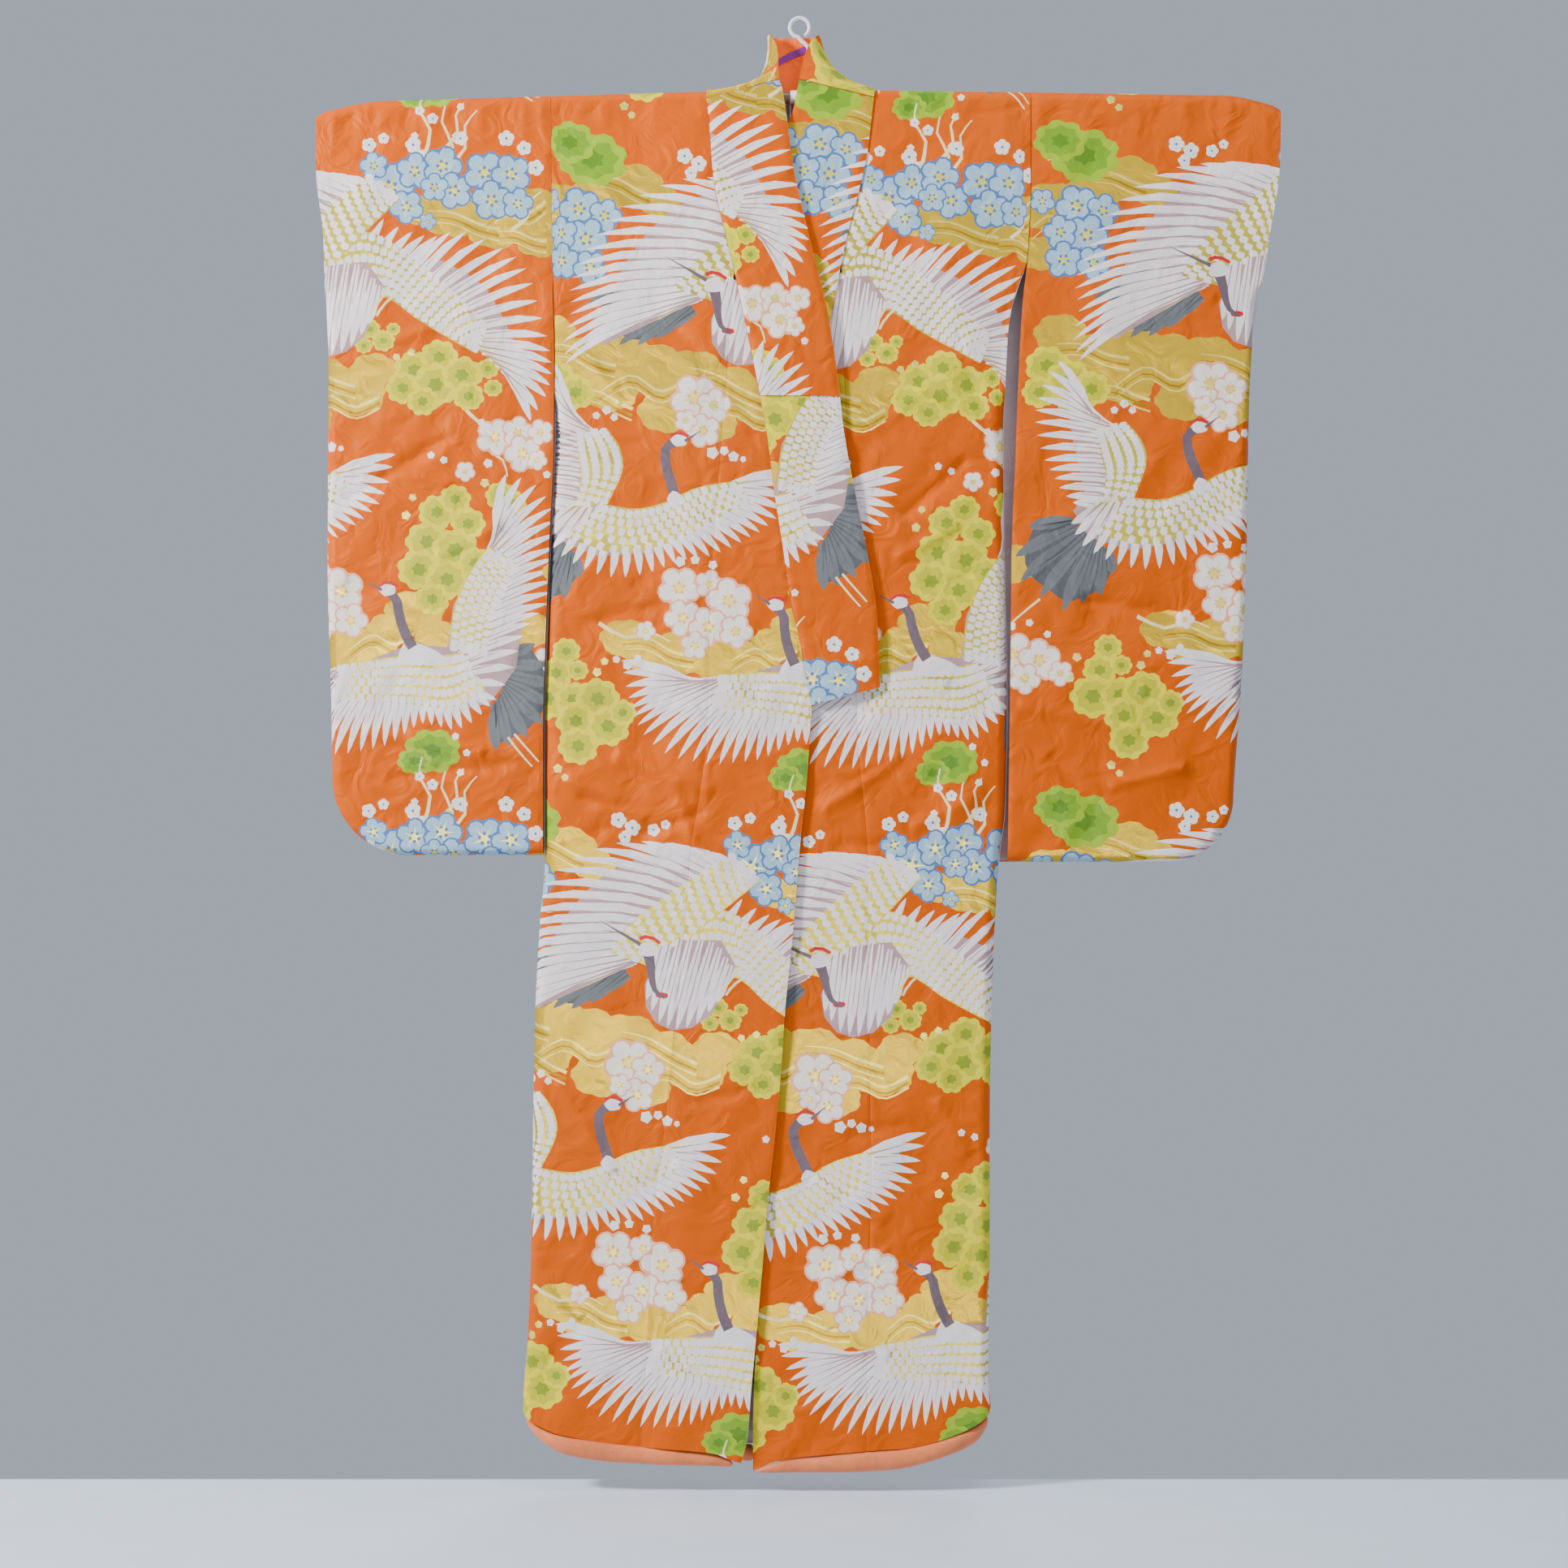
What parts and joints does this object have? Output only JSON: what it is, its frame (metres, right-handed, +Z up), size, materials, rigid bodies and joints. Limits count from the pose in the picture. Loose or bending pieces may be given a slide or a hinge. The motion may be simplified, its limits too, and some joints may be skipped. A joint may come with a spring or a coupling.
{
  "type": "wedding kimono on its hanger",
  "caption": "Unbelted wedding kimono, long padded over-robe of brocade with deep swinging sleeves, hung open and flat on a rod hanger with a hook.",
  "frame": {"origin": "inside top of the hanger's hook, where the peg that holds it bears", "axes": "+Z up, +X to the viewer's right along the rod, the robe's front faces -Y"},
  "size_m": [1.3002, 0.0537, 1.9632],
  "materials": {
    "brocade": "silk brocade, satin ground",
    "hem_padding": "padded salmon silk",
    "ribbon": "purple woven tape",
    "rod": "pale varnished wood",
    "white_plastic": "white moulded plastic"
  },
  "bodies": {
    "root": {"body_left_front": "brocade", "body_left_back": "brocade", "body_right_front": "brocade", "body_right_back": "brocade", "gore_left": "brocade", "gore_right": "brocade", "collar_left": "brocade", "collar_right": "brocade", "collar_neck": "brocade", "over_collar_left": "brocade", "over_collar_right": "brocade", "sleeve_left_front": "brocade", "sleeve_left_back": "brocade", "sleeve_right_front": "brocade", "sleeve_right_back": "brocade", "hem_roll_left_front": "hem_padding", "hem_roll_right_front": "hem_padding", "hem_roll_left_back": "hem_padding", "hem_roll_right_back": "hem_padding", "neck_ribbon": "ribbon", "hanger_arm_left": "rod", "hanger_arm_right": "rod", "hanger_hub": "white_plastic", "hanger_hook": "white_plastic"}
  },
  "joints": []
}
